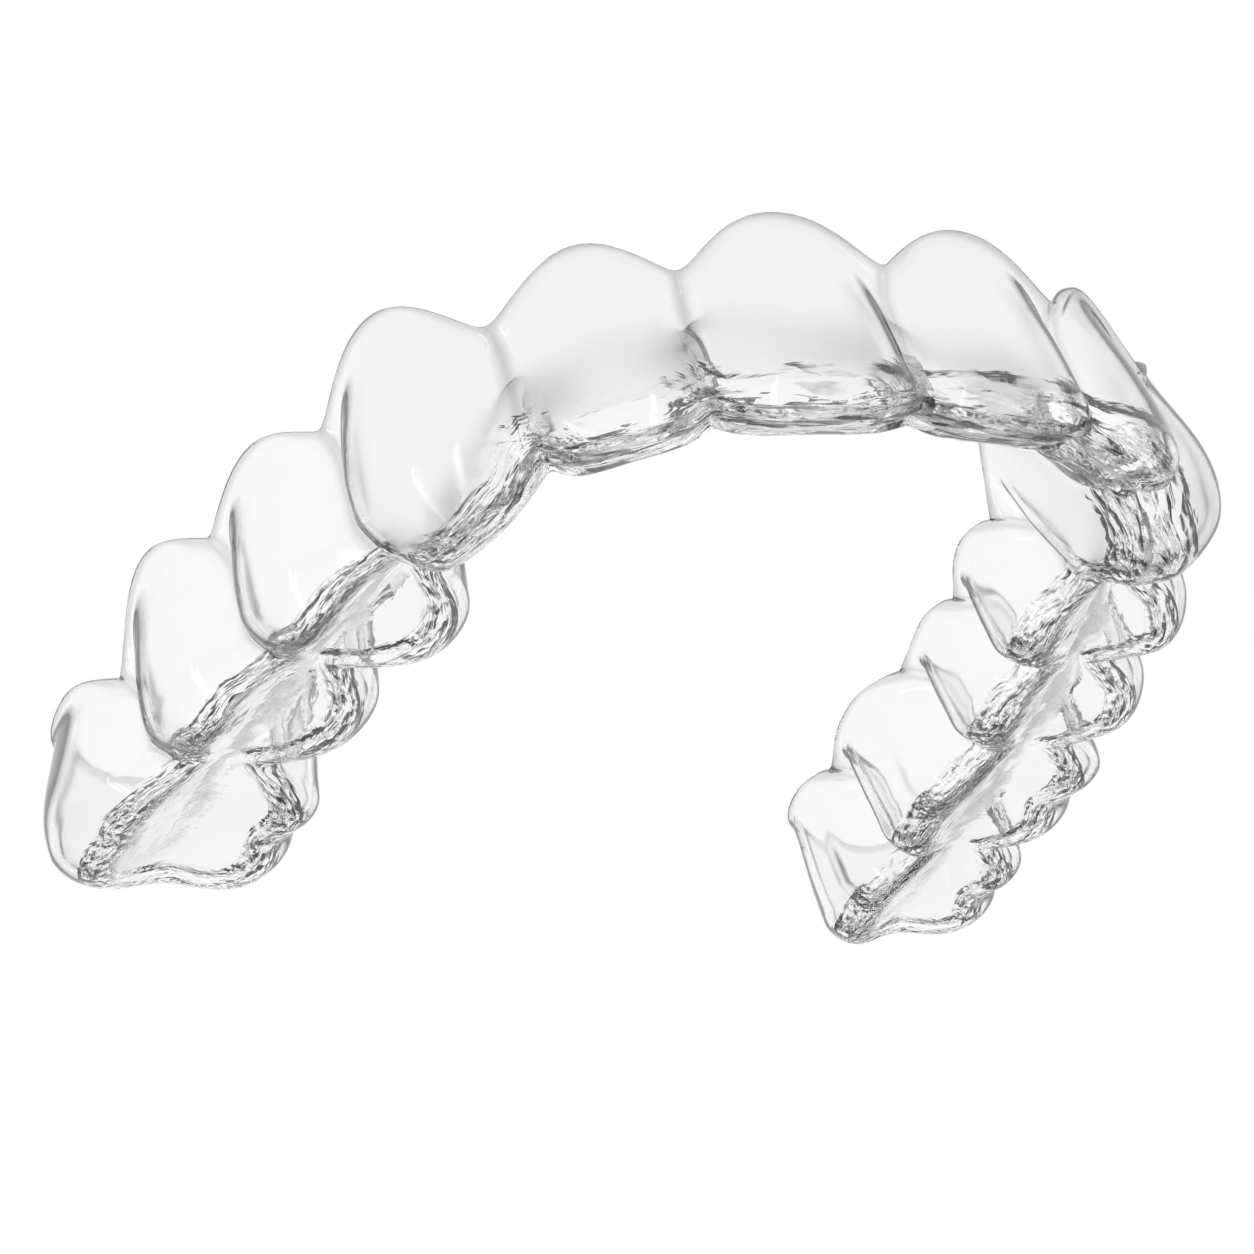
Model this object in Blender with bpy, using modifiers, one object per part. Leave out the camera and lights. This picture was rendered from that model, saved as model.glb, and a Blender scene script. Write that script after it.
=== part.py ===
"""Clear dental aligner: one thin clear sheet drawn over thirteen tooth crowns.

It lies on its trimmed edge with the chewing side up. The front teeth are towards -Y and the
arch opens towards +Y. Sizes are in millimetres, and the scene is in metres.
"""

import math
from dataclasses import dataclass, replace

import bmesh
import bpy
import numpy as np
from mathutils import Matrix, Vector
from mathutils.geometry import intersect_ray_tri

MM = 0.001


@dataclass(frozen=True)
class Gap:
    """Where two crowns meet. Pairs are the cheek side, then the tongue side."""

    place: tuple  # out from the midline, back from the front
    crest: tuple  # chewing edge, out from the arch line
    crease: tuple  # bottom of the crease between the faces, out from the arch line
    neck: tuple  # trimmed edge, out from the arch line
    valley: tuple  # trimmed edge, below the biting plane
    web: tuple  # height of the gum's point between the crowns, up from the trimmed edge
    contact: float  # chewing edge, below the biting plane


@dataclass(frozen=True)
class Crown:
    """One tooth's outer shape at its middle. Pairs are the cheek side, then the tongue side."""

    behind: Gap  # the gap to the next crown back
    crest: tuple  # chewing edge, out from the arch line
    belly: tuple  # widest line of the face, out from the arch line
    neck: tuple  # gum line, out from the arch line
    tip: tuple  # chewing edge, below the biting plane
    height: tuple  # trimmed edge, below the biting plane
    bevel: tuple  # share of the way down taken by the slope between edge and face
    shoulder: tuple  # how far that slope reaches out, from crest 0 to belly 1
    bend: float  # share of the way down taken by the bend from that slope to the face
    groove: float  # middle of the chewing side, below the biting plane
    cusps: int  # on each side: 0 is a straight edge
    squareness: float  # of the face seen from above
    notch: tuple = (0.0, 0.0)  # depth of the notch between two cusps


# Sheet
WALL = 0.6
GUM_STRIP = 0.6  # sheet left below the gum line at mid-tooth
GUM_DENT = 0.25  # how far the gum line lies in from the trimmed edge

# Gaps and crowns from the midline back
MIDLINE = Gap(
    place=(0.0, 1.0), crest=(0.9, 0.28), crease=(1.1, 1.0), neck=(1.9, 4.1), valley=(7.6, 7.4),
    web=(1.5, 1.2), contact=1.5,
)
CENTRAL = Crown(
    behind=Gap(
        place=(8.2, 1.9), crest=(0.86, 0.28), crease=(1.0, 0.95), neck=(1.75, 4.1), valley=(7.4, 7.25),
        web=(1.8, 1.2), contact=1.6,
    ),
    crest=(1.2, 0.7), belly=(2.4, 3.2), neck=(2.1, 4.4), tip=(0.5, 1.3), height=(10.1, 9.8),
    bevel=(0.12, 0.16), shoulder=(0.8, 0.3), bend=0.04, groove=0.8, cusps=0, squareness=4.4,
)
LATERAL = Crown(
    behind=Gap(
        place=(13.6, 5.3), crest=(0.77, 0.28), crease=(1.6, 1.1), neck=(2.4, 4.2), valley=(7.0, 6.75),
        web=(1.6, 1.2), contact=1.95,
    ),
    crest=(1.1, 0.7), belly=(2.4, 3.0), neck=(1.8, 4.4), tip=(0.6, 1.2), height=(10.0, 9.3),
    bevel=(0.12, 0.16), shoulder=(0.8, 0.3), bend=0.04, groove=0.8, cusps=0, squareness=4.0,
)
CANINE = Crown(
    behind=Gap(
        place=(16.9, 12.0), crest=(0.9, 0.74), crease=(2.6, 2.0), neck=(3.4, 4.6), valley=(7.45, 6.1),
        web=(1.3, 0.9), contact=2.15,
    ),
    crest=(1.1, 0.7), belly=(4.5, 3.4), neck=(3.5, 4.6), tip=(-0.6, 1.3), height=(10.4, 9.8),
    bevel=(0.17, 0.16), shoulder=(0.7, 0.3), bend=0.07, groove=0.2, cusps=1, squareness=3.4,
)
FIRST_PREMOLAR = Crown(
    behind=Gap(
        place=(19.0, 19.1), crest=(1.3, 1.1), crease=(3.0, 2.5), neck=(4.1, 4.9), valley=(7.4, 6.3),
        web=(1.1, 0.7), contact=2.15,
    ),
    crest=(2.5, 3.0), belly=(4.6, 5.0), neck=(4.1, 5.3), tip=(-0.1, 0.7), height=(9.4, 7.5),
    bevel=(0.17, 0.18), shoulder=(0.75, 0.75), bend=0.1, groove=2.1, cusps=1, squareness=3.0,
)
SECOND_PREMOLAR = Crown(
    behind=Gap(
        place=(20.6, 26.8), crest=(1.9, 1.26), crease=(3.8, 2.7), neck=(4.8, 5.35), valley=(5.75, 7.0),
        web=(1.0, 0.7), contact=2.0,
    ),
    crest=(3.1, 2.6), belly=(5.2, 4.9), neck=(5.0, 5.2), tip=(0.2, 0.8), height=(9.4, 7.9),
    bevel=(0.17, 0.18), shoulder=(0.75, 0.75), bend=0.1, groove=2.1, cusps=1, squareness=3.0,
)
FIRST_MOLAR = Crown(
    behind=Gap(
        place=(21.9, 37.2), crest=(2.2, 1.46), crease=(4.1, 2.8), neck=(4.8, 5.7), valley=(5.65, 7.2),
        web=(1.0, 0.7), contact=1.8,
    ),
    crest=(3.6, 3.7), belly=(6.4, 5.7), neck=(5.6, 6.3), tip=(0.6, 0.3), height=(8.0, 8.3),
    bevel=(0.17, 0.18), shoulder=(0.75, 0.75), bend=0.1, groove=2.1, cusps=2, squareness=3.2,
    notch=(0.5, 0.5),
)
SECOND_MOLAR = Crown(
    behind=Gap(
        place=(23.3, 47.2), crest=(2.05, 1.44), crease=(4.0, 2.8), neck=(4.6, 5.5), valley=(6.5, 7.2),
        web=(1.0, 0.7), contact=1.6,
    ),
    crest=(3.2, 3.6), belly=(5.9, 5.5), neck=(5.1, 5.9), tip=(0.2, 0.2), height=(8.4, 8.8),
    bevel=(0.17, 0.18), shoulder=(0.75, 0.75), bend=0.1, groove=2.1, cusps=2, squareness=3.2,
    notch=(0.5, 0.5),
)
LONG_ARM = (CENTRAL, LATERAL, CANINE, FIRST_PREMOLAR, SECOND_PREMOLAR, FIRST_MOLAR, SECOND_MOLAR)
END_MOLAR = replace(FIRST_MOLAR, tip=(0.3, 0.3), notch=(0.0, 0.5))
SHORT_ARM = (*LONG_ARM[:-2], END_MOLAR)
GAP_SINK = 0.2  # of the middle of the chewing side below its edge, at a gap

# Profile of a face, from the middle of the chewing side to the trimmed edge
SLOPE_OUT = 0.45  # of the way out to the crest
SLOPE_RISE = 0.25  # of the way from the groove up to the crest
CREST_LIFT = 0.4
SHOULDER_OUT = 0.3
BELLY_LEVEL = 0.45  # of the way from the crest down to the gum line
NECK_LEVEL = 0.78
NECK_SHARE = 0.65  # of the way in from the belly to the neck

# Curves across a crown: a higher power keeps the middle flatter
STRAIGHT_EDGE_POWER = 5
GROOVE_POWER = 3
SCALLOP_POWER = 1.6
WEB_POWER = 9

# Flat strip between two crowns, as a share of half the crown's width
CREST_WEB = 0.03
BELLY_WEB = 0.08
NECK_WEB = 0.15
FACE_TURN = 0.55  # share of the turn to the next crown that is made close to the gap

# Cusps
CUSP_SPREAD = 0.45
CUSP_NOTCH_IN = 0.9  # of the notch's depth
SINGLE_CUSP_ROUND = (0.25, 0.45)

# Back end of each arm
BACK_START = 0.38
BACK_CREST_IN = 1.2
BACK_CREST_DROP = 1.5
BACK_NECK_IN = 0.4
BACK_TRIM = 6.9
BACK_SQUARENESS = 2.5
BACK_STEPS = 9

# Mesh spacing
MERGE_DISTANCE = 0.001
NEARLY_ONE = 1.0 - 1e-9  # last position on a spline
STEP_ALONG = 0.95
FEWEST_STEPS = 6
GAP_CROWDING = 0.55
# Down the crown from 0 to the gum line at 1, and on to the trimmed edge at 2
ROWS = (0.0, 0.08, 0.15, 0.22, 0.29, 0.36, 0.43, 0.51, 0.61, 0.73, 0.87, 1.0, 2.0)


class Arch:
    """The smooth line through the gaps between crowns, from the midline back along one arm."""

    def __init__(self, crowns):
        self.gaps = np.array([MIDLINE.place, *(crown.behind.place for crown in crowns)])
        mirrored = self.gaps[1] * (-1, 1)
        beyond = 2 * self.gaps[-1] - self.gaps[-2]
        chain = np.vstack([mirrored, self.gaps, beyond])
        ways = chain[2:] - chain[:-2]
        self.ways = ways / np.linalg.norm(ways, axis=1)[:, None]

    def width(self, crown):
        return np.linalg.norm(self.gaps[crown + 1] - self.gaps[crown])

    def place(self, crown, across):
        """Points on the line, and the way out to the cheek there; across is -1 to 1."""
        start, end = self.gaps[crown : crown + 2]
        leave, arrive = self.ways[crown : crown + 2] * self.width(crown)
        t = (across[:, None] + 1) / 2
        point = (
            (2 * t**3 - 3 * t**2 + 1) * start + (t**3 - 2 * t**2 + t) * leave
            + (3 * t**2 - 2 * t**3) * end + (t**3 - t**2) * arrive
        )
        t = ((1 - FACE_TURN) * across[:, None] + FACE_TURN * across[:, None] ** 3 + 1) / 2
        way = (
            (6 * t**2 - 6 * t) * (start - end) + (3 * t**2 - 4 * t + 1) * leave
            + (3 * t**2 - 2 * t) * arrive
        )
        way /= np.linalg.norm(way, axis=1)[:, None]
        return point, np.stack([way[:, 1], -way[:, 0]], -1)


def spline_weights(count, positions):
    """Weights of a clamped cubic B-spline with so many control points, one row per position."""
    knots = np.concatenate([[0.0] * 3, np.linspace(0.0, 1.0, count - 2), [1.0] * 3])
    rows = []
    for position in np.minimum(positions, NEARLY_ONE):
        level = ((knots[:-1] <= position) & (position < knots[1:])).astype(float)
        for degree in (1, 2, 3):
            size = len(level) - 1
            rise, fall = np.zeros(size), np.zeros(size)
            for i in range(size):
                up = knots[i + degree] - knots[i]
                down = knots[i + degree + 1] - knots[i + 1]
                rise[i] = (position - knots[i]) / up if up else 0.0
                fall[i] = (knots[i + degree + 1] - position) / down if down else 0.0
            level = rise * level[:-1] + fall * level[1:]
        rows.append(level)
    return np.array(rows)


def profile(groove, crest, tip, shoulder, bevel, bend, belly, neck, gum, edge, trim):
    """Control points from the middle of the chewing side out and down to the trimmed edge."""
    slope_out = crest + (belly - crest) * shoulder + SHOULDER_OUT
    drop = gum - tip
    points = (
        (np.zeros_like(crest), groove),
        (SLOPE_OUT * crest, groove + SLOPE_RISE * (tip - groove)),
        (crest, tip - CREST_LIFT),
        (slope_out, tip + bevel * drop),
        ((slope_out + belly) / 2, tip + (bevel + bend) * drop),
        (belly, tip + BELLY_LEVEL * drop),
        (belly + NECK_SHARE * (neck - belly), tip + NECK_LEVEL * drop),
        (neck, gum),
        (edge, trim),
    )
    return np.stack([np.stack(point, -1) for point in points], -2)


def row_weights(count, rows):
    """Weights of the control points: a spline as far as the gum line, then straight."""
    rows = np.array(rows)
    weights = np.zeros((len(rows), count))
    weights[:, :-1] = spline_weights(count - 1, np.minimum(rows, 1.0))
    below = np.maximum(rows - 1.0, 0.0)
    weights[:, -2] *= 1 - below
    weights[:, -1] = below
    return weights


def crown_profiles(crowns, index, across, side):
    """The profiles of one crown's cheek side (side 0) or tongue side (side 1)."""
    crown = crowns[index]
    front = crowns[index - 1].behind if index else MIDLINE
    back = crown.behind

    def at_gap(read):
        """A size of the gap in front, then of the gap behind."""
        return np.where(across < 0, read(front), read(back))

    def towards(gap_size, size, web, power):
        """From a size at mid-tooth to its size at the gap, which it keeps over the web."""
        return size + (gap_size - size) * np.minimum(out / (1 - web), 1) ** power

    out = np.abs(across)
    square = crown.squareness
    crease = at_gap(lambda gap: gap.crease[side])
    crest = towards(at_gap(lambda gap: gap.crest[side]), crown.crest[side], CREST_WEB, square)
    belly = towards(crease, crown.belly[side], BELLY_WEB, square)
    edge = towards(at_gap(lambda gap: gap.neck[side]), crown.neck[side], NECK_WEB, square)
    neck = towards(crease, edge - GUM_DENT, NECK_WEB, WEB_POWER)
    tip, contact = crown.tip[side], at_gap(lambda gap: gap.contact)
    if crown.cusps == 0:
        fall = out**STRAIGHT_EDGE_POWER
    elif crown.cusps == 1:
        soft = SINGLE_CUSP_ROUND[side]
        fall = (np.sqrt(across**2 + soft**2) - soft) / (math.sqrt(1 + soft**2) - soft)
    else:
        notch = np.where(out < CUSP_SPREAD, (1 + np.cos(np.pi * out / CUSP_SPREAD)) / 2, 0)
        fall = np.clip((out - CUSP_SPREAD) / (1 - CUSP_SPREAD), 0, 1) ** 2
        notch *= crown.notch[side]
        crest = crest - CUSP_NOTCH_IN * notch
        belly = belly - CUSP_NOTCH_IN * notch
        tip = tip + notch
    tip = tip + (contact - tip) * fall
    wave = out**SCALLOP_POWER
    wave = wave**2 * (3 - 2 * wave)
    trim = crown.height[side] + (at_gap(lambda gap: gap.valley[side]) - crown.height[side]) * wave
    strip = towards(at_gap(lambda gap: gap.web[side]), GUM_STRIP, 0, WEB_POWER)
    groove = crown.groove + (contact + GAP_SINK - crown.groove) * out**GROOVE_POWER
    return profile(
        groove, crest, tip, crown.shoulder[side], crown.bevel[side], crown.bend, belly, neck,
        trim - strip, edge, trim,
    )


def spread(count, end):
    """Positions across a crown, from one gap to the end, closer together near the gaps."""
    even = np.linspace(-1.0, end, count + 1)
    return even + GAP_CROWDING * (np.sin(np.pi / 2 * even) - even)


def arm_columns(crowns, hand, side):
    """Places, ways out and profiles from the midline to the start of the arm's back end."""
    arch = Arch(crowns)
    places, ways, profiles = [], [], []
    for index, crown in enumerate(crowns):
        last = index == len(crowns) - 1
        end = BACK_START if last else 1.0
        length = arch.width(index) * (end + 1) / 2
        across = spread(max(FEWEST_STEPS, round(length / STEP_ALONG)), end)
        across = across if index == 0 else across[1:]
        place, way = arch.place(index, across)
        places.append(place * (hand, 1))
        ways.append(way * (hand, 1) * (1 if side == 0 else -1))
        profiles.append(crown_profiles(crowns, index, across, side))
    return np.concatenate(places), np.concatenate(ways), np.concatenate(profiles)


def back_columns(crowns, place, cheek_way, cheek, tongue):
    """The round back end: the profile swings from the cheek side to the tongue side."""
    crown = crowns[-1]
    reach = (1 - BACK_START) * Arch(crowns).width(len(crowns) - 1) / 2
    back_way = np.array([-cheek_way[1], cheek_way[0]])
    back_way *= np.sign(back_way[1])
    neck = reach - BACK_NECK_IN
    back = profile(
        crown.groove, reach - BACK_CREST_IN, BACK_CREST_DROP, crown.shoulder[0], crown.bevel[0],
        crown.bend, reach, neck - GUM_DENT, BACK_TRIM - GUM_STRIP, neck, BACK_TRIM,
    )
    power = BACK_SQUARENESS
    ways, profiles = [], []
    for angle in np.pi * np.arange(1, BACK_STEPS) / BACK_STEPS:
        cheekward, backward = math.cos(angle), math.sin(angle)
        near = cheek if cheekward > 0 else tongue
        out = np.zeros(len(near))
        out[1:] = (
            (abs(cheekward) / near[1:, 0]) ** power + (backward / back[1:, 0]) ** power
        ) ** (-1 / power)
        down = near[:, 1] + (back[:, 1] - near[:, 1]) * backward**2
        down[0] = near[0, 1]
        ways.append(cheek_way * cheekward + back_way * backward)
        profiles.append(np.stack([out, down], -1))
    return np.array([place] * len(ways)), np.array(ways), np.array(profiles)


def outer_points():
    """The outer face as columns round the trimmed edge, each from mid-crown to that edge."""
    loops = []
    for crowns, hand in ((SHORT_ARM, 1), (LONG_ARM, -1)):
        cheek = arm_columns(crowns, hand, 0)
        tongue = arm_columns(crowns, hand, 1)
        back = back_columns(crowns, cheek[0][-1], cheek[1][-1], cheek[2][-1], tongue[2][-1])
        loops.append([np.concatenate([a, b, c[::-1]]) for a, b, c in zip(cheek, back, tongue)])
    short, long = loops
    # The long arm runs the other way round, and both arms share the midline's two columns.
    place, way, control = (
        np.concatenate([first, second[::-1][1:]]) for first, second in zip(short, long)
    )
    rounded = np.einsum("rk,ckj->crj", row_weights(control.shape[1], ROWS), control)
    flat = place[:, None] + way[:, None] * rounded[..., :1]
    return np.concatenate([flat, -rounded[..., 1:]], -1)


def rest_turn(mesh):
    """The turn that lays a mesh on the face of its hull that lies under its centre."""
    surface = bmesh.new()
    surface.from_mesh(mesh)
    areas = [face.calc_area() for face in surface.faces]
    centres = [face.calc_center_median() * area for face, area in zip(surface.faces, areas)]
    centre = sum(centres, Vector()) / sum(areas)
    bmesh.ops.triangulate(surface, faces=surface.faces)
    bmesh.ops.convex_hull(surface, input=surface.verts)
    down = Vector((0, 0, -1))
    for face in surface.faces:
        corners = [vertex.co for vertex in face.verts]
        below = intersect_ray_tri(*corners, down, centre, True)
        if below and face.normal.z < 0:
            turn = face.normal.rotation_difference(down)
    surface.free()
    return turn.to_matrix().to_4x4()


def clear_plastic():
    material = bpy.data.materials.new("clear_plastic")
    material.use_nodes = True
    shader = material.node_tree.nodes["Principled BSDF"]
    shader.inputs["Base Color"].default_value = (0.93, 0.95, 0.96, 1.0)
    shader.inputs["Metallic"].default_value = 0.0
    shader.inputs["Roughness"].default_value = 0.06
    shader.inputs["IOR"].default_value = 1.5
    shader.inputs["Transmission Weight"].default_value = 1.0
    return material


def aligner_shell(collection):
    points = outer_points()
    columns, rows = points.shape[:2]
    mesh = bpy.data.meshes.new("aligner_shell")
    shell = bpy.data.objects.new("aligner_shell", mesh)
    collection.objects.link(shell)

    # A flat grid, each of whose points moves to its place on the outer face
    grid = bmesh.new()
    bmesh.ops.create_grid(grid, x_segments=columns - 1, y_segments=rows - 1, size=1.0)
    for vertex in grid.verts:
        column = round((vertex.co.x + 1) / 2 * (columns - 1))
        row = round((vertex.co.y + 1) / 2 * (rows - 1))
        vertex.co = Vector(points[column, row]) * MM
    bmesh.ops.remove_doubles(grid, verts=grid.verts, dist=MERGE_DISTANCE * MM)
    bmesh.ops.recalc_face_normals(grid, faces=grid.faces)
    if sum(face.normal.z * face.calc_area() for face in grid.faces) < 0:
        bmesh.ops.reverse_faces(grid, faces=grid.faces)
    grid.to_mesh(mesh)
    grid.free()
    mesh.shade_smooth()
    mesh.materials.append(clear_plastic())

    sheet = shell.modifiers.new("sheet", "SOLIDIFY")
    sheet.thickness = WALL * MM
    sheet.offset = -1.0
    sheet.use_even_offset = False
    return shell


def lay_down(shell):
    """Turns the shell onto its trimmed edge and centres it over the origin."""
    shell.data.transform(rest_turn(shell.data))
    bpy.context.view_layer.update()
    solid = shell.evaluated_get(bpy.context.evaluated_depsgraph_get())
    corners = np.array([vertex.co[:] for vertex in solid.data.vertices])
    low, high = corners.min(0), corners.max(0)
    shift = (-(low[0] + high[0]) / 2, -(low[1] + high[1]) / 2, -low[2])
    shell.data.transform(Matrix.Translation(shift))


def main():
    for old in list(bpy.data.objects):
        bpy.data.objects.remove(old, do_unlink=True)
    collection = bpy.data.collections.new("clear_aligner")
    bpy.context.scene.collection.children.link(collection)
    lay_down(aligner_shell(collection))


main()
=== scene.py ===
"""Studio picture of a clear dental aligner that lies on a white table, chewing side up.

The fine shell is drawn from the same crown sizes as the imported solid. Sizes are in millimetres
unless a name says otherwise, and the scene is in metres.
"""

import math
from dataclasses import dataclass, replace

import bmesh
import bpy
import numpy as np
from mathutils import Matrix, Vector
from mathutils.geometry import intersect_ray_tri


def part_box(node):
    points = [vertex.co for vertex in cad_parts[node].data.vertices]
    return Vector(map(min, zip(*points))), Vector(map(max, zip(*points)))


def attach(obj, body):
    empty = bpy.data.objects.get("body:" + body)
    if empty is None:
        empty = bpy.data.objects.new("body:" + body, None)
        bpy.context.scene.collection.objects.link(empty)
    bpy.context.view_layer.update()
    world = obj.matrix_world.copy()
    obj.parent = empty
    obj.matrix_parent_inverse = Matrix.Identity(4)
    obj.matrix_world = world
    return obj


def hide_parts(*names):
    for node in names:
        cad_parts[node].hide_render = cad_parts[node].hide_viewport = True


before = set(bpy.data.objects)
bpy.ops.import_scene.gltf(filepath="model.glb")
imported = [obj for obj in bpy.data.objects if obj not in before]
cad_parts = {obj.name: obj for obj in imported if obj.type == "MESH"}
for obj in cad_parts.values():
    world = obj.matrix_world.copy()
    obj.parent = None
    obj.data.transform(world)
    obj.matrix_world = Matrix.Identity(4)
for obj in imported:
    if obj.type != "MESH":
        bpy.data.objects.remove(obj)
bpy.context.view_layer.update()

MM = 0.001


@dataclass(frozen=True)
class Gap:
    """Where two crowns meet. Pairs are the cheek side, then the tongue side."""

    place: tuple  # out from the midline, back from the front
    crest: tuple  # chewing edge, out from the arch line
    crease: tuple  # bottom of the crease between the faces, out from the arch line
    neck: tuple  # trimmed edge, out from the arch line
    valley: tuple  # trimmed edge, below the biting plane
    web: tuple  # height of the gum's point between the crowns, up from the trimmed edge
    contact: float  # chewing edge, below the biting plane


@dataclass(frozen=True)
class Crown:
    """One tooth's outer shape at its middle. Pairs are the cheek side, then the tongue side."""

    behind: Gap  # the gap to the next crown back
    crest: tuple  # chewing edge, out from the arch line
    belly: tuple  # widest line of the face, out from the arch line
    neck: tuple  # gum line, out from the arch line
    tip: tuple  # chewing edge, below the biting plane
    height: tuple  # trimmed edge, below the biting plane
    bevel: tuple  # share of the way down taken by the slope between edge and face
    shoulder: tuple  # how far that slope reaches out, from crest 0 to belly 1
    bend: float  # share of the way down taken by the bend from that slope to the face
    groove: float  # middle of the chewing side, below the biting plane
    cusps: int  # on each side: 0 is a straight edge
    squareness: float  # of the face seen from above
    notch: tuple = (0.0, 0.0)  # depth of the notch between two cusps


# Sheet
WALL = 0.6
GUM_STRIP = 0.6  # sheet left below the gum line at mid-tooth
GUM_DENT = 0.25  # how far the gum line lies in from the trimmed edge

# Gaps and crowns from the midline back
MIDLINE = Gap(
    place=(0.0, 1.0), crest=(0.9, 0.28), crease=(1.1, 1.0), neck=(1.9, 4.1), valley=(7.6, 7.4),
    web=(1.5, 1.2), contact=1.5,
)
CENTRAL = Crown(
    behind=Gap(
        place=(8.2, 1.9), crest=(0.86, 0.28), crease=(1.0, 0.95), neck=(1.75, 4.1), valley=(7.4, 7.25),
        web=(1.8, 1.2), contact=1.6,
    ),
    crest=(1.2, 0.7), belly=(2.4, 3.2), neck=(2.1, 4.4), tip=(0.5, 1.3), height=(10.1, 9.8),
    bevel=(0.12, 0.16), shoulder=(0.8, 0.3), bend=0.04, groove=0.8, cusps=0, squareness=4.4,
)
LATERAL = Crown(
    behind=Gap(
        place=(13.6, 5.3), crest=(0.77, 0.28), crease=(1.6, 1.1), neck=(2.4, 4.2), valley=(7.0, 6.75),
        web=(1.6, 1.2), contact=1.95,
    ),
    crest=(1.1, 0.7), belly=(2.4, 3.0), neck=(1.8, 4.4), tip=(0.6, 1.2), height=(10.0, 9.3),
    bevel=(0.12, 0.16), shoulder=(0.8, 0.3), bend=0.04, groove=0.8, cusps=0, squareness=4.0,
)
CANINE = Crown(
    behind=Gap(
        place=(16.9, 12.0), crest=(0.9, 0.74), crease=(2.6, 2.0), neck=(3.4, 4.6), valley=(7.45, 6.1),
        web=(1.3, 0.9), contact=2.15,
    ),
    crest=(1.1, 0.7), belly=(4.5, 3.4), neck=(3.5, 4.6), tip=(-0.6, 1.3), height=(10.4, 9.8),
    bevel=(0.17, 0.16), shoulder=(0.7, 0.3), bend=0.07, groove=0.2, cusps=1, squareness=3.4,
)
FIRST_PREMOLAR = Crown(
    behind=Gap(
        place=(19.0, 19.1), crest=(1.3, 1.1), crease=(3.0, 2.5), neck=(4.1, 4.9), valley=(7.4, 6.3),
        web=(1.1, 0.7), contact=2.15,
    ),
    crest=(2.5, 3.0), belly=(4.6, 5.0), neck=(4.1, 5.3), tip=(-0.1, 0.7), height=(9.4, 7.5),
    bevel=(0.17, 0.18), shoulder=(0.75, 0.75), bend=0.1, groove=2.1, cusps=1, squareness=3.0,
)
SECOND_PREMOLAR = Crown(
    behind=Gap(
        place=(20.6, 26.8), crest=(1.9, 1.26), crease=(3.8, 2.7), neck=(4.8, 5.35), valley=(5.75, 7.0),
        web=(1.0, 0.7), contact=2.0,
    ),
    crest=(3.1, 2.6), belly=(5.2, 4.9), neck=(5.0, 5.2), tip=(0.2, 0.8), height=(9.4, 7.9),
    bevel=(0.17, 0.18), shoulder=(0.75, 0.75), bend=0.1, groove=2.1, cusps=1, squareness=3.0,
)
FIRST_MOLAR = Crown(
    behind=Gap(
        place=(21.9, 37.2), crest=(2.2, 1.46), crease=(4.1, 2.8), neck=(4.8, 5.7), valley=(5.65, 7.2),
        web=(1.0, 0.7), contact=1.8,
    ),
    crest=(3.6, 3.7), belly=(6.4, 5.7), neck=(5.6, 6.3), tip=(0.6, 0.3), height=(8.0, 8.3),
    bevel=(0.17, 0.18), shoulder=(0.75, 0.75), bend=0.1, groove=2.1, cusps=2, squareness=3.2,
    notch=(0.5, 0.5),
)
SECOND_MOLAR = Crown(
    behind=Gap(
        place=(23.3, 47.2), crest=(2.05, 1.44), crease=(4.0, 2.8), neck=(4.6, 5.5), valley=(6.5, 7.2),
        web=(1.0, 0.7), contact=1.6,
    ),
    crest=(3.2, 3.6), belly=(5.9, 5.5), neck=(5.1, 5.9), tip=(0.2, 0.2), height=(8.4, 8.8),
    bevel=(0.17, 0.18), shoulder=(0.75, 0.75), bend=0.1, groove=2.1, cusps=2, squareness=3.2,
    notch=(0.5, 0.5),
)
LONG_ARM = (CENTRAL, LATERAL, CANINE, FIRST_PREMOLAR, SECOND_PREMOLAR, FIRST_MOLAR, SECOND_MOLAR)
END_MOLAR = replace(FIRST_MOLAR, tip=(0.3, 0.3), notch=(0.0, 0.5))
SHORT_ARM = (*LONG_ARM[:-2], END_MOLAR)
GAP_SINK = 0.2  # of the middle of the chewing side below its edge, at a gap

# Profile of a face, from the middle of the chewing side to the trimmed edge
SLOPE_OUT = 0.45  # of the way out to the crest
SLOPE_RISE = 0.25  # of the way from the groove up to the crest
CREST_LIFT = 0.4
SHOULDER_OUT = 0.3
BELLY_LEVEL = 0.45  # of the way from the crest down to the gum line
NECK_LEVEL = 0.78
NECK_SHARE = 0.65  # of the way in from the belly to the neck

# Curves across a crown: a higher power keeps the middle flatter
STRAIGHT_EDGE_POWER = 5
GROOVE_POWER = 3
SCALLOP_POWER = 1.6
WEB_POWER = 9

# Flat strip between two crowns, as a share of half the crown's width
CREST_WEB = 0.03
BELLY_WEB = 0.08
NECK_WEB = 0.15
FACE_TURN = 0.55  # share of the turn to the next crown that is made close to the gap

# Cusps
CUSP_SPREAD = 0.45
CUSP_NOTCH_IN = 0.9  # of the notch's depth
SINGLE_CUSP_ROUND = (0.25, 0.45)

# Back end of each arm
BACK_START = 0.38
BACK_CREST_IN = 1.2
BACK_CREST_DROP = 1.5
BACK_NECK_IN = 0.4
BACK_TRIM = 6.9
BACK_SQUARENESS = 2.5
BACK_STEPS = 9

# Mesh spacing
MERGE_DISTANCE = 0.001
NEARLY_ONE = 1.0 - 1e-9  # last position on a spline
STEP_ALONG = 0.95
FEWEST_STEPS = 6
GAP_CROWDING = 0.55
# Down the crown from 0 to the gum line at 1, and on to the trimmed edge at 2
ROWS = (0.0, 0.08, 0.15, 0.22, 0.29, 0.36, 0.43, 0.51, 0.61, 0.73, 0.87, 1.0, 2.0)


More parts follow.
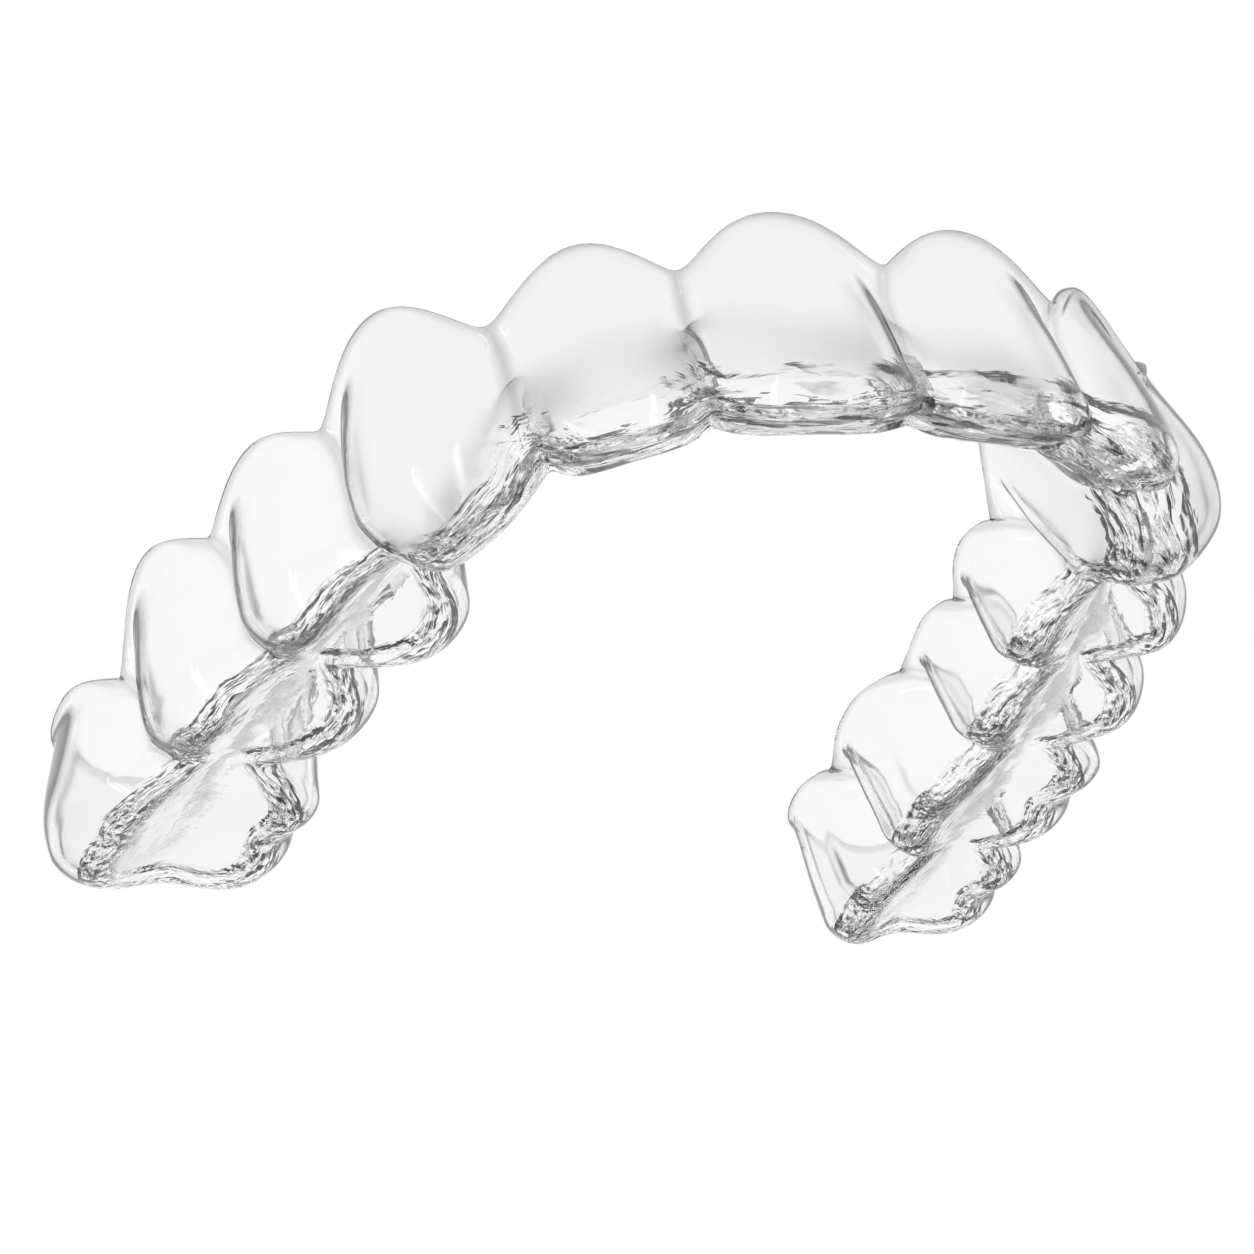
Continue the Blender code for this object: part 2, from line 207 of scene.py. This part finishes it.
class Arch:
    """The smooth line through the gaps between crowns, from the midline back along one arm."""

    def __init__(self, crowns):
        self.gaps = np.array([MIDLINE.place, *(crown.behind.place for crown in crowns)])
        mirrored = self.gaps[1] * (-1, 1)
        beyond = 2 * self.gaps[-1] - self.gaps[-2]
        chain = np.vstack([mirrored, self.gaps, beyond])
        ways = chain[2:] - chain[:-2]
        self.ways = ways / np.linalg.norm(ways, axis=1)[:, None]

    def width(self, crown):
        return np.linalg.norm(self.gaps[crown + 1] - self.gaps[crown])

    def place(self, crown, across):
        """Points on the line, and the way out to the cheek there; across is -1 to 1."""
        start, end = self.gaps[crown : crown + 2]
        leave, arrive = self.ways[crown : crown + 2] * self.width(crown)
        t = (across[:, None] + 1) / 2
        point = (
            (2 * t**3 - 3 * t**2 + 1) * start + (t**3 - 2 * t**2 + t) * leave
            + (3 * t**2 - 2 * t**3) * end + (t**3 - t**2) * arrive
        )
        t = ((1 - FACE_TURN) * across[:, None] + FACE_TURN * across[:, None] ** 3 + 1) / 2
        way = (
            (6 * t**2 - 6 * t) * (start - end) + (3 * t**2 - 4 * t + 1) * leave
            + (3 * t**2 - 2 * t) * arrive
        )
        way /= np.linalg.norm(way, axis=1)[:, None]
        return point, np.stack([way[:, 1], -way[:, 0]], -1)


def spline_weights(count, positions):
    """Weights of a clamped cubic B-spline with so many control points, one row per position."""
    knots = np.concatenate([[0.0] * 3, np.linspace(0.0, 1.0, count - 2), [1.0] * 3])
    rows = []
    for position in np.minimum(positions, NEARLY_ONE):
        level = ((knots[:-1] <= position) & (position < knots[1:])).astype(float)
        for degree in (1, 2, 3):
            size = len(level) - 1
            rise, fall = np.zeros(size), np.zeros(size)
            for i in range(size):
                up = knots[i + degree] - knots[i]
                down = knots[i + degree + 1] - knots[i + 1]
                rise[i] = (position - knots[i]) / up if up else 0.0
                fall[i] = (knots[i + degree + 1] - position) / down if down else 0.0
            level = rise * level[:-1] + fall * level[1:]
        rows.append(level)
    return np.array(rows)


def profile(groove, crest, tip, shoulder, bevel, bend, belly, neck, gum, edge, trim):
    """Control points from the middle of the chewing side out and down to the trimmed edge."""
    slope_out = crest + (belly - crest) * shoulder + SHOULDER_OUT
    drop = gum - tip
    points = (
        (np.zeros_like(crest), groove),
        (SLOPE_OUT * crest, groove + SLOPE_RISE * (tip - groove)),
        (crest, tip - CREST_LIFT),
        (slope_out, tip + bevel * drop),
        ((slope_out + belly) / 2, tip + (bevel + bend) * drop),
        (belly, tip + BELLY_LEVEL * drop),
        (belly + NECK_SHARE * (neck - belly), tip + NECK_LEVEL * drop),
        (neck, gum),
        (edge, trim),
    )
    return np.stack([np.stack(point, -1) for point in points], -2)


def row_weights(count, rows):
    """Weights of the control points: a spline as far as the gum line, then straight."""
    rows = np.array(rows)
    weights = np.zeros((len(rows), count))
    weights[:, :-1] = spline_weights(count - 1, np.minimum(rows, 1.0))
    below = np.maximum(rows - 1.0, 0.0)
    weights[:, -2] *= 1 - below
    weights[:, -1] = below
    return weights


def crown_profiles(crowns, index, across, side):
    """The profiles of one crown's cheek side (side 0) or tongue side (side 1)."""
    crown = crowns[index]
    front = crowns[index - 1].behind if index else MIDLINE
    back = crown.behind

    def at_gap(read):
        """A size of the gap in front, then of the gap behind."""
        return np.where(across < 0, read(front), read(back))

    def towards(gap_size, size, web, power):
        """From a size at mid-tooth to its size at the gap, which it keeps over the web."""
        return size + (gap_size - size) * np.minimum(out / (1 - web), 1) ** power

    out = np.abs(across)
    square = crown.squareness
    crease = at_gap(lambda gap: gap.crease[side])
    crest = towards(at_gap(lambda gap: gap.crest[side]), crown.crest[side], CREST_WEB, square)
    belly = towards(crease, crown.belly[side], BELLY_WEB, square)
    edge = towards(at_gap(lambda gap: gap.neck[side]), crown.neck[side], NECK_WEB, square)
    neck = towards(crease, edge - GUM_DENT, NECK_WEB, WEB_POWER)
    tip, contact = crown.tip[side], at_gap(lambda gap: gap.contact)
    if crown.cusps == 0:
        fall = out**STRAIGHT_EDGE_POWER
    elif crown.cusps == 1:
        soft = SINGLE_CUSP_ROUND[side]
        fall = (np.sqrt(across**2 + soft**2) - soft) / (math.sqrt(1 + soft**2) - soft)
    else:
        notch = np.where(out < CUSP_SPREAD, (1 + np.cos(np.pi * out / CUSP_SPREAD)) / 2, 0)
        fall = np.clip((out - CUSP_SPREAD) / (1 - CUSP_SPREAD), 0, 1) ** 2
        notch *= crown.notch[side]
        crest = crest - CUSP_NOTCH_IN * notch
        belly = belly - CUSP_NOTCH_IN * notch
        tip = tip + notch
    tip = tip + (contact - tip) * fall
    wave = out**SCALLOP_POWER
    wave = wave**2 * (3 - 2 * wave)
    trim = crown.height[side] + (at_gap(lambda gap: gap.valley[side]) - crown.height[side]) * wave
    strip = towards(at_gap(lambda gap: gap.web[side]), GUM_STRIP, 0, WEB_POWER)
    groove = crown.groove + (contact + GAP_SINK - crown.groove) * out**GROOVE_POWER
    return profile(
        groove, crest, tip, crown.shoulder[side], crown.bevel[side], crown.bend, belly, neck,
        trim - strip, edge, trim,
    )


def spread(count, end):
    """Positions across a crown, from one gap to the end, closer together near the gaps."""
    even = np.linspace(-1.0, end, count + 1)
    return even + GAP_CROWDING * (np.sin(np.pi / 2 * even) - even)


def arm_columns(crowns, hand, side, step):
    """Places, ways out and profiles from the midline to the start of the arm's back end."""
    arch = Arch(crowns)
    places, ways, profiles = [], [], []
    for index, crown in enumerate(crowns):
        last = index == len(crowns) - 1
        end = BACK_START if last else 1.0
        length = arch.width(index) * (end + 1) / 2
        across = spread(max(FEWEST_STEPS, round(length / step)), end)
        across = across if index == 0 else across[1:]
        place, way = arch.place(index, across)
        places.append(place * (hand, 1))
        ways.append(way * (hand, 1) * (1 if side == 0 else -1))
        profiles.append(crown_profiles(crowns, index, across, side))
    return np.concatenate(places), np.concatenate(ways), np.concatenate(profiles)


def back_columns(crowns, place, cheek_way, cheek, tongue):
    """The round back end: the profile swings from the cheek side to the tongue side."""
    crown = crowns[-1]
    reach = (1 - BACK_START) * Arch(crowns).width(len(crowns) - 1) / 2
    back_way = np.array([-cheek_way[1], cheek_way[0]])
    back_way *= np.sign(back_way[1])
    neck = reach - BACK_NECK_IN
    back = profile(
        crown.groove, reach - BACK_CREST_IN, BACK_CREST_DROP, crown.shoulder[0], crown.bevel[0],
        crown.bend, reach, neck - GUM_DENT, BACK_TRIM - GUM_STRIP, neck, BACK_TRIM,
    )
    power = BACK_SQUARENESS
    ways, profiles = [], []
    for angle in np.pi * np.arange(1, BACK_STEPS) / BACK_STEPS:
        cheekward, backward = math.cos(angle), math.sin(angle)
        near = cheek if cheekward > 0 else tongue
        out = np.zeros(len(near))
        out[1:] = (
            (abs(cheekward) / near[1:, 0]) ** power + (backward / back[1:, 0]) ** power
        ) ** (-1 / power)
        down = near[:, 1] + (back[:, 1] - near[:, 1]) * backward**2
        down[0] = near[0, 1]
        ways.append(cheek_way * cheekward + back_way * backward)
        profiles.append(np.stack([out, down], -1))
    return np.array([place] * len(ways)), np.array(ways), np.array(profiles)


def outer_points(step, rows):
    """The outer face as columns round the trimmed edge, each from mid-crown to that edge."""
    loops = []
    for crowns, hand in ((SHORT_ARM, 1), (LONG_ARM, -1)):
        cheek = arm_columns(crowns, hand, 0, step)
        tongue = arm_columns(crowns, hand, 1, step)
        back = back_columns(crowns, cheek[0][-1], cheek[1][-1], cheek[2][-1], tongue[2][-1])
        loops.append([np.concatenate([a, b, c[::-1]]) for a, b, c in zip(cheek, back, tongue)])
    short, long = loops
    # The long arm runs the other way round, and both arms share the midline's two columns.
    place, way, control = (
        np.concatenate([first, second[::-1][1:]]) for first, second in zip(short, long)
    )
    rounded = np.einsum("rk,ckj->crj", row_weights(control.shape[1], rows), control)
    flat = place[:, None] + way[:, None] * rounded[..., :1]
    return np.concatenate([flat, -rounded[..., 1:]], -1)


def rest_turn(mesh):
    """The turn that lays a mesh on the face of its hull that lies under its centre."""
    surface = bmesh.new()
    surface.from_mesh(mesh)
    areas = [face.calc_area() for face in surface.faces]
    centres = [face.calc_center_median() * area for face, area in zip(surface.faces, areas)]
    centre = sum(centres, Vector()) / sum(areas)
    bmesh.ops.triangulate(surface, faces=surface.faces)
    bmesh.ops.convex_hull(surface, input=surface.verts)
    down = Vector((0, 0, -1))
    for face in surface.faces:
        corners = [vertex.co for vertex in face.verts]
        below = intersect_ray_tri(*corners, down, centre, True)
        if below and face.normal.z < 0:
            turn = face.normal.rotation_difference(down)
    surface.free()
    return turn.to_matrix().to_4x4()


# Fine surface
FINE_STEP = 0.58
FINE_ROW_COUNT = 34
FINE_ROWS = np.interp(np.linspace(0, len(ROWS) - 1, FINE_ROW_COUNT), range(len(ROWS)), ROWS)
SMOOTHING = 1
ROUNDED_FROM = 0.85  # row at which the rounding of the gum line sets in
ROUNDINGS = 2

# Strip along the chewing edge, with sizes at three places, from the front teeth to the arms
RIDGE_PLACES = (5.0, 8.0, 12.0)  # back from the front of the arch
RIDGE_OUT = (1.6, 0.8, 0.5)  # from the edge down the face
RIDGE_IN = (1.3, 0.8, 0.6)  # from the edge into the chewing side
RIDGE_FADE = (0.6, 0.35, 0.35)
RIDGE_LONG_ARM = 0.9  # farther out on the long arm's tongue side
GRAIN = (0.4, 0.8, 1.0)  # share of the strokes, fewer and longer on the front teeth
CHEWING_UNEVENNESS = 0.04  # share of the strip's unevenness on the rest of the chewing side

# Strokes in the strip: long waves and short scales, as many to a millimetre
WAVES_ALONG, WAVES_DOWN = 0.45, 2.4
WAVE_DETAIL = 2.0
WAVE_TWIST = 0.8
SCALES_ALONG, SCALES_DOWN = 1.5, 2.6
SCALE_SHARE = 0.8
SMOOTH_LEVEL = 0.3  # height at which the strip meets the smooth faces
STROKE_HEIGHT = 0.6

# Painted dark lines where two faces meet, standing in for the shade in the creases
CREASE_SHADE = 0.4
CREASE_HALF = 0.35  # half the width of the painted dark line
CLEAR_HALF = 1.1  # half the width of the clear stretch around it

# Plastic, where a pair is for smooth faces, then for the uneven strip
FROST = (0.75, 0.4, 0.15)  # roughness of the faces at the strip's three places
CHEWING_FROST = 0.2  # share of it on the chewing side
GLOSS = 0.03
COAT = 0.3
LIGHT_BEND = 1.1
# Painted shade: where the wall turns edge-on, the base colour goes towards the near-black rim tint, in
# place of the dark outlines that bent light draws at real rims
PAINTED_RIM_START = (0.66, 0.44)  # how edge-on the wall is where its painted rim shade starts
PAINTED_RIM_FULL = (0.76, 0.83)
CLEAR_TINT, FROSTED_TINT, PAINTED_RIM_TINT = 0.975, 0.84, 0.02
CUT_SHADE = 0.38  # painted shade on the trimmed edge, as a share of a rim's darkness
SHADOW_TINT = 0.93

# Table and studio, in metres and watts
TABLE_HALF = 3.0
TABLE_DROP = 0.00002
TABLE_TINT = 0.9
TABLE_WHITE = 0.97  # share of plain white that the camera sees
WHITE_IN_GLOSS = 0.3
SKY_LOW, SKY_HIGH = 0.15, 0.6  # how high up the room turns from dark to white
SKY_DARK = 0.05
LAMPS = (  # name, place, size and power
    ("key", (-0.25, 0.30, 0.60), (0.30, 0.30), 0.35),
    ("front", (0.10, -0.50, 0.40), (0.05, 0.80), 1.2),
    ("side", (0.50, -0.22, 0.40), (0.05, 0.80), 1.2),
)

# Camera
CAMERA_PLACE = (45.57, -74.13, 58.54)
CAMERA_WAY = (-0.4231, 0.7240, -0.5448)
CAMERA_RIGHT = (-0.9060, -0.3440, 0.2465)
LENS = 62.635
SENSOR = 36.0
NEAREST = 5.0


def grey(level):
    return (level, level, level, 1.0)


def round_gum_line(points):
    """Rounds the rows near the trimmed edge where they turn up between the crowns."""
    share = np.clip((FINE_ROWS - ROUNDED_FROM) / (1 - ROUNDED_FROM), 0, 1)[:, None]
    ring = points[:-1]
    for _ in range(ROUNDINGS):
        beside = (np.roll(ring, 1, axis=0) + np.roll(ring, -1, axis=0)) / 2
        ring = ring + share / 2 * (beside - ring)
    return np.concatenate([ring, ring[:1]])


def run_length(points, axis):
    """Distance along the columns or the rows of a grid of points, from its first one."""
    steps = np.linalg.norm(np.diff(points, axis=axis), axis=-1)
    return np.insert(np.cumsum(steps, axis=axis), 0, 0.0, axis=axis)


def crease_share(points, half):
    """How near each column is to a crease between crowns: 1 in it, 0 at half a width from it."""
    creases = [MIDLINE.place] + [
        (crown.behind.place[0] * hand, crown.behind.place[1])
        for crowns, hand in ((SHORT_ARM, 1), (LONG_ARM, -1)) for crown in crowns[:-1]
    ]
    away = np.linalg.norm(points[:, :1, :2] - np.array(creases), axis=-1).min(1)
    return np.clip(1 - away / half, 0, 1)[:, None]


def marks(points):
    """What the plastic is like at each point of the sheet.

    This is how far the point lies along the arch and down from the chewing edge, how frosted and how
    uneven the plastic is there, its share of painted rim shade, and its painted cut or crease line.
    """
    columns, rows = points.shape[:2]
    down = run_length(points, 1)
    down = down - down[np.arange(columns), points[:, :, 2].argmax(1)][:, None]
    outward, inward, fade, grain, frost = (
        np.interp(points[:, 0, 1], RIDGE_PLACES, sizes)[:, None]
        for sizes in (RIDGE_OUT, RIDGE_IN, RIDGE_FADE, GRAIN, FROST)
    )
    steps = np.diff(run_length(points, 0).mean(1), prepend=0.0)[:, None]
    along = np.broadcast_to(np.cumsum(steps * grain, axis=0), (columns, rows))
    tongue_side = (points[:, :1, 0] < 0) & (points[:, :1, 0] < points[:, -1:, 0])
    face = np.clip((down - outward - RIDGE_LONG_ARM * tongue_side) / fade, 0, 1)
    chewing = np.clip(-(down + inward) / fade, 0, 1)
    clear = crease_share(points, CLEAR_HALF)
    # Painted shade: dark lines along the creases between crowns and along the trimmed edge, kept as
    # one mark
    crease = CREASE_SHADE * crease_share(points, CREASE_HALF) * face
    painted_line_shade = CUT_SHADE * (np.arange(rows) == rows - 1)
    return {
        "sheet_along": along,
        "sheet_down": down * grain,
        "frost": np.maximum(face * (1 - clear), CHEWING_FROST * chewing) * frost,
        "uneven": (1 - face) * (1 - (1 - CHEWING_UNEVENNESS) * chewing),
        # how much of the painted rim shade a point takes, less on the chewing side
        "painted_rim_share": 1 - chewing,
        "painted_line_shade": np.maximum(painted_line_shade, crease),
    }


def sheet_mesh(name, points):
    """A flat grid of columns and rows, each of whose points moves to its place on a surface."""
    columns, rows = points.shape[:2]
    grid = bmesh.new()
    kept = [(grid.verts.layers.float.new(mark), values) for mark, values in marks(points).items()]
    bmesh.ops.create_grid(grid, x_segments=columns - 1, y_segments=rows - 1, size=1.0)
    for vertex in grid.verts:
        column = round((vertex.co.x + 1) / 2 * (columns - 1))
        row = round((vertex.co.y + 1) / 2 * (rows - 1))
        vertex.co = Vector(points[column, row]) * MM
        for layer, values in kept:
            vertex[layer] = values[column, row]
    bmesh.ops.remove_doubles(grid, verts=grid.verts, dist=MERGE_DISTANCE * MM)
    bmesh.ops.recalc_face_normals(grid, faces=grid.faces)
    if sum(face.normal.z * face.calc_area() for face in grid.faces) < 0:
        bmesh.ops.reverse_faces(grid, faces=grid.faces)
    mesh = bpy.data.meshes.new(name)
    grid.to_mesh(mesh)
    grid.free()
    return mesh


class Tree:
    """A short way to add nodes to a node tree and link them."""

    def __init__(self, tree):
        self.tree = tree

    def add(self, kind, inputs=None, **settings):
        node = self.tree.nodes.new(kind)
        for name, value in settings.items():
            setattr(node, name, value)
        for name, value in (inputs or {}).items():
            socket = node.inputs[name]
            if isinstance(value, bpy.types.NodeSocket):
                self.tree.links.new(value, socket)
            else:
                socket.default_value = value
        return node

    def number(self, operation, *values):
        """The result of a sum, as a socket."""
        return self.add("ShaderNodeMath", dict(enumerate(values)), operation=operation).outputs[0]

    def between(self, pair, share):
        """From the first of a pair of numbers to the second."""
        return self.number("MULTIPLY_ADD", share, pair[1] - pair[0], pair[0])


def emptied(owner):
    """The node tree of a material or a world, with nothing in it."""
    owner.use_nodes = True
    owner.node_tree.nodes.clear()
    return Tree(owner.node_tree)


def wall_tree(material):
    """Geometry nodes: gives a sheet its wall, closes its edge and smooths it."""
    group = bpy.data.node_groups.new("thermoformed_wall", "GeometryNodeTree")
    sockets = group.interface
    sockets.new_socket("Sheet", in_out="INPUT", socket_type="NodeSocketGeometry")
    wall = sockets.new_socket("Wall", in_out="INPUT", socket_type="NodeSocketFloat")
    level = sockets.new_socket("Smoothing", in_out="INPUT", socket_type="NodeSocketInt")
    sockets.new_socket("Shell", in_out="OUTPUT", socket_type="NodeSocketGeometry")
    wall.default_value, level.default_value = WALL * MM, SMOOTHING
    nodes = Tree(group)
    given = nodes.add("NodeGroupInput")
    normal = nodes.add("GeometryNodeInputNormal")
    outer = nodes.add("GeometryNodeCaptureAttribute", domain="POINT")
    outer.capture_items.new("VECTOR", "Outward")
    group.links.new(given.outputs["Sheet"], outer.inputs["Geometry"])
    group.links.new(normal.outputs["Normal"], outer.inputs["Outward"])
    drawn = nodes.add("GeometryNodeExtrudeMesh", {
        "Mesh": outer.outputs["Geometry"], "Offset Scale": 0.0, "Individual": False})
    inward = nodes.add("ShaderNodeVectorMath", {
        0: outer.outputs["Outward"],
        "Scale": nodes.number("MULTIPLY", given.outputs["Wall"], -1.0)}, operation="SCALE")
    inner = nodes.add("GeometryNodeSetPosition", {
        "Geometry": drawn.outputs["Mesh"], "Selection": drawn.outputs["Top"],
        "Offset": inward.outputs[0]})
    turned = nodes.add("GeometryNodeFlipFaces", {"Mesh": inner.outputs["Geometry"]})
    both = nodes.add("GeometryNodeJoinGeometry")
    group.links.new(outer.outputs["Geometry"], both.inputs[0])
    group.links.new(turned.outputs["Mesh"], both.inputs[0])
    closed = nodes.add("GeometryNodeMergeByDistance", {
        "Geometry": both.outputs["Geometry"], "Distance": MERGE_DISTANCE * MM})
    smooth = nodes.add("GeometryNodeSubdivisionSurface", {
        "Mesh": closed.outputs["Geometry"], "Level": given.outputs["Smoothing"]})
    shaded = nodes.add("GeometryNodeSetShadeSmooth", {"Geometry": smooth.outputs["Mesh"]})
    real = nodes.add("GeometryNodeRealizeInstances", {"Geometry": shaded.outputs["Geometry"]})
    finish = nodes.add("GeometryNodeSetMaterial", {
        "Geometry": real.outputs["Geometry"], "Material": material})
    nodes.add("NodeGroupOutput", {"Shell": finish.outputs["Geometry"]})
    return group, {"Wall": wall.identifier, "Smoothing": level.identifier}


def strokes(nodes, along, down, uneven):
    """The surface's direction with the strip's short strokes pressed into it."""
    wave_place, scale_place = (
        nodes.add("ShaderNodeCombineXYZ", {
            "X": nodes.number("MULTIPLY", along, per_along),
            "Y": nodes.number("MULTIPLY", down, per_down)}).outputs[0]
        for per_along, per_down in ((WAVES_ALONG, WAVES_DOWN), (SCALES_ALONG, SCALES_DOWN))
    )
    waves = nodes.add("ShaderNodeTexNoise", {
        "Vector": wave_place, "Scale": 1.0, "Detail": WAVE_DETAIL, "Distortion": WAVE_TWIST})
    scales = nodes.add("ShaderNodeTexVoronoi", {"Vector": scale_place, "Scale": 1.0})
    both = nodes.number(
        "MULTIPLY_ADD", scales.outputs["Distance"], SCALE_SHARE, waves.outputs["Fac"])
    height = nodes.number("MULTIPLY", nodes.number("SUBTRACT", both, SMOOTH_LEVEL), uneven)
    pressed = nodes.add("ShaderNodeBump", {
        "Height": height, "Strength": 1.0, "Distance": STROKE_HEIGHT * MM})
    return pressed.outputs["Normal"]


def clear_plastic():
    """Frosted clear plastic with painted shade on rims, creases and cut, and an uneven edge strip."""
    material = bpy.data.materials.new("clear_plastic")
    nodes = emptied(material)
    along, down, frost, uneven, painted_rim_share, painted_line_shade = (
        nodes.add("ShaderNodeAttribute", attribute_name=mark).outputs["Fac"]
        for mark in ("sheet_along", "sheet_down", "frost", "uneven", "painted_rim_share", "painted_line_shade")
    )
    normal = strokes(nodes, along, down, uneven)
    # Painted shade: the base colour darkens where the bumped wall turns edge-on
    edge_on = nodes.add("ShaderNodeLayerWeight", {"Blend": 0.5, "Normal": normal})
    painted_rim_mask = nodes.add("ShaderNodeMapRange", {
        "Value": edge_on.outputs["Facing"], "From Min": nodes.between(PAINTED_RIM_START, uneven),
        "From Max": nodes.between(PAINTED_RIM_FULL, uneven)}).outputs[0]
    rough = nodes.number("MULTIPLY_ADD", frost, nodes.number("SUBTRACT", 1.0, painted_rim_mask), GLOSS)
    # Painted shade of the rims, creases and trimmed edge, mixed into the base colour
    painted_shade = nodes.number("MAXIMUM", nodes.number("MULTIPLY", painted_rim_mask, painted_rim_share), painted_line_shade)
    faces = nodes.add("ShaderNodeMapRange", {
        "Value": frost, "From Max": FROST[0], "To Min": CLEAR_TINT, "To Max": FROSTED_TINT})
    base_tint_with_painted_shade = nodes.add("ShaderNodeMix", {
        0: painted_shade, 6: faces.outputs[0], 7: grey(PAINTED_RIM_TINT)}, data_type="RGBA")
    plastic = nodes.add("ShaderNodeBsdfPrincipled", {
        "Base Color": base_tint_with_painted_shade.outputs[2], "Roughness": rough, "IOR": LIGHT_BEND,
        "Transmission Weight": 1.0, "Coat Weight": COAT, "Coat Roughness": GLOSS,
        "Normal": normal})
    through = nodes.add("ShaderNodeBsdfTransparent", {"Color": grey(SHADOW_TINT)})
    path = nodes.add("ShaderNodeLightPath")
    mixed = nodes.add("ShaderNodeMixShader", {
        0: path.outputs["Is Shadow Ray"], 1: plastic.outputs[0], 2: through.outputs[0]})
    nodes.add("ShaderNodeOutputMaterial", {"Surface": mixed.outputs[0]})
    return material


def shell():
    """The aligner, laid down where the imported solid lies."""
    fine = round_gum_line(outer_points(FINE_STEP, FINE_ROWS))
    piece = bpy.data.objects.new("aligner", sheet_mesh("aligner", fine))
    bpy.context.scene.collection.objects.link(piece)
    coarse = sheet_mesh("coarse", outer_points(STEP_ALONG, ROWS))
    piece.data.transform(rest_turn(coarse))
    bpy.data.meshes.remove(coarse)
    group, names = wall_tree(clear_plastic())
    wall = piece.modifiers.new("wall", "NODES")
    wall.node_group = group
    wall[names["Wall"]] = WALL * MM
    wall[names["Smoothing"]] = SMOOTHING
    walled = piece.evaluated_get(bpy.context.evaluated_depsgraph_get())
    solid = bpy.data.meshes.new_from_object(walled)
    piece.modifiers.clear()
    piece.data = solid
    solid.name = "aligner"
    corners = np.array([vertex.co[:] for vertex in solid.vertices])
    low, high = corners.min(0), corners.max(0)
    want_low, want_high = (np.array(corner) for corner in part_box("aligner_shell"))
    shift = (want_low + want_high - low - high) / 2
    shift[2] = want_low[2] - low[2]
    solid.transform(Matrix.Translation(shift))
    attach(piece, "root")
    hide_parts("aligner_shell")


def white_table():
    """A pale matt surface that the camera, and rays through the plastic, see as white."""
    material = bpy.data.materials.new("white_table")
    nodes = emptied(material)
    matt = nodes.add("ShaderNodeBsdfDiffuse", {"Color": grey(TABLE_TINT)})
    white = nodes.add("ShaderNodeEmission", {"Color": grey(1.0), "Strength": 1.0})
    path = nodes.add("ShaderNodeLightPath").outputs
    beyond = nodes.number(
        "MULTIPLY_ADD", path["Is Glossy Ray"], WHITE_IN_GLOSS, path["Is Transmission Ray"])
    seen = nodes.number("MAXIMUM", path["Is Camera Ray"], beyond)
    mixed = nodes.add("ShaderNodeMixShader", {
        0: nodes.number("MULTIPLY", seen, TABLE_WHITE), 1: matt.outputs[0], 2: white.outputs[0]})
    nodes.add("ShaderNodeOutputMaterial", {"Surface": mixed.outputs[0]})
    return material


def floor():
    """The table top that the aligner lies on."""
    sheet = bmesh.new()
    bmesh.ops.create_grid(sheet, x_segments=1, y_segments=1, size=TABLE_HALF)
    mesh = bpy.data.meshes.new("table_top")
    sheet.to_mesh(mesh)
    sheet.free()
    table = bpy.data.objects.new("table_top", mesh)
    bpy.context.scene.collection.objects.link(table)
    table.location.z = -TABLE_DROP
    mesh.materials.append(white_table())


def soft_box(name, place, size, power):
    """A soft lamp that faces the aligner."""
    lamp = bpy.data.lights.new(name, "AREA")
    lamp.shape, lamp.size, lamp.size_y, lamp.energy = "RECTANGLE", size[0], size[1], power
    made = bpy.data.objects.new(name, lamp)
    bpy.context.scene.collection.objects.link(made)
    made.location = place
    made.rotation_mode = "QUATERNION"
    made.rotation_quaternion = (-Vector(place)).to_track_quat("-Z", "Y")


def studio():
    """A room that is white above and darker near the horizon, and its lamps."""
    world = bpy.data.worlds.new("studio")
    bpy.context.scene.world = world
    nodes = emptied(world)
    path = nodes.add("ShaderNodeLightPath")
    way = nodes.add("ShaderNodeTexCoord")
    high = nodes.add("ShaderNodeSeparateXYZ", {"Vector": way.outputs["Generated"]})
    sky = nodes.add("ShaderNodeMapRange", {
        "Value": high.outputs["Z"], "From Min": SKY_LOW, "From Max": SKY_HIGH,
        "To Min": SKY_DARK, "To Max": 1.0})
    room = nodes.add("ShaderNodeBackground", {"Color": grey(1.0), "Strength": sky.outputs[0]})
    white = nodes.add("ShaderNodeBackground", {"Color": grey(1.0), "Strength": 1.0})
    mixed = nodes.add("ShaderNodeMixShader", {
        0: path.outputs["Is Camera Ray"], 1: room.outputs[0], 2: white.outputs[0]})
    nodes.add("ShaderNodeOutputWorld", {"Surface": mixed.outputs[0]})
    for lamp in LAMPS:
        soft_box(*lamp)


def camera():
    """The camera looks down on the table from the front teeth's side."""
    made = bpy.data.objects.new("camera", bpy.data.cameras.new("camera"))
    bpy.context.scene.collection.objects.link(made)
    right, way = Vector(CAMERA_RIGHT).normalized(), Vector(CAMERA_WAY).normalized()
    turn = Matrix((right, right.cross(way), -way)).transposed().to_4x4()
    made.matrix_world = Matrix.Translation(Vector(CAMERA_PLACE) * MM) @ turn
    made.data.lens, made.data.sensor_width = LENS, SENSOR
    made.data.clip_start = NEAREST * MM
    bpy.context.scene.camera = made


shell()
floor()
studio()
camera()
bpy.context.scene.view_settings.view_transform = "Standard"
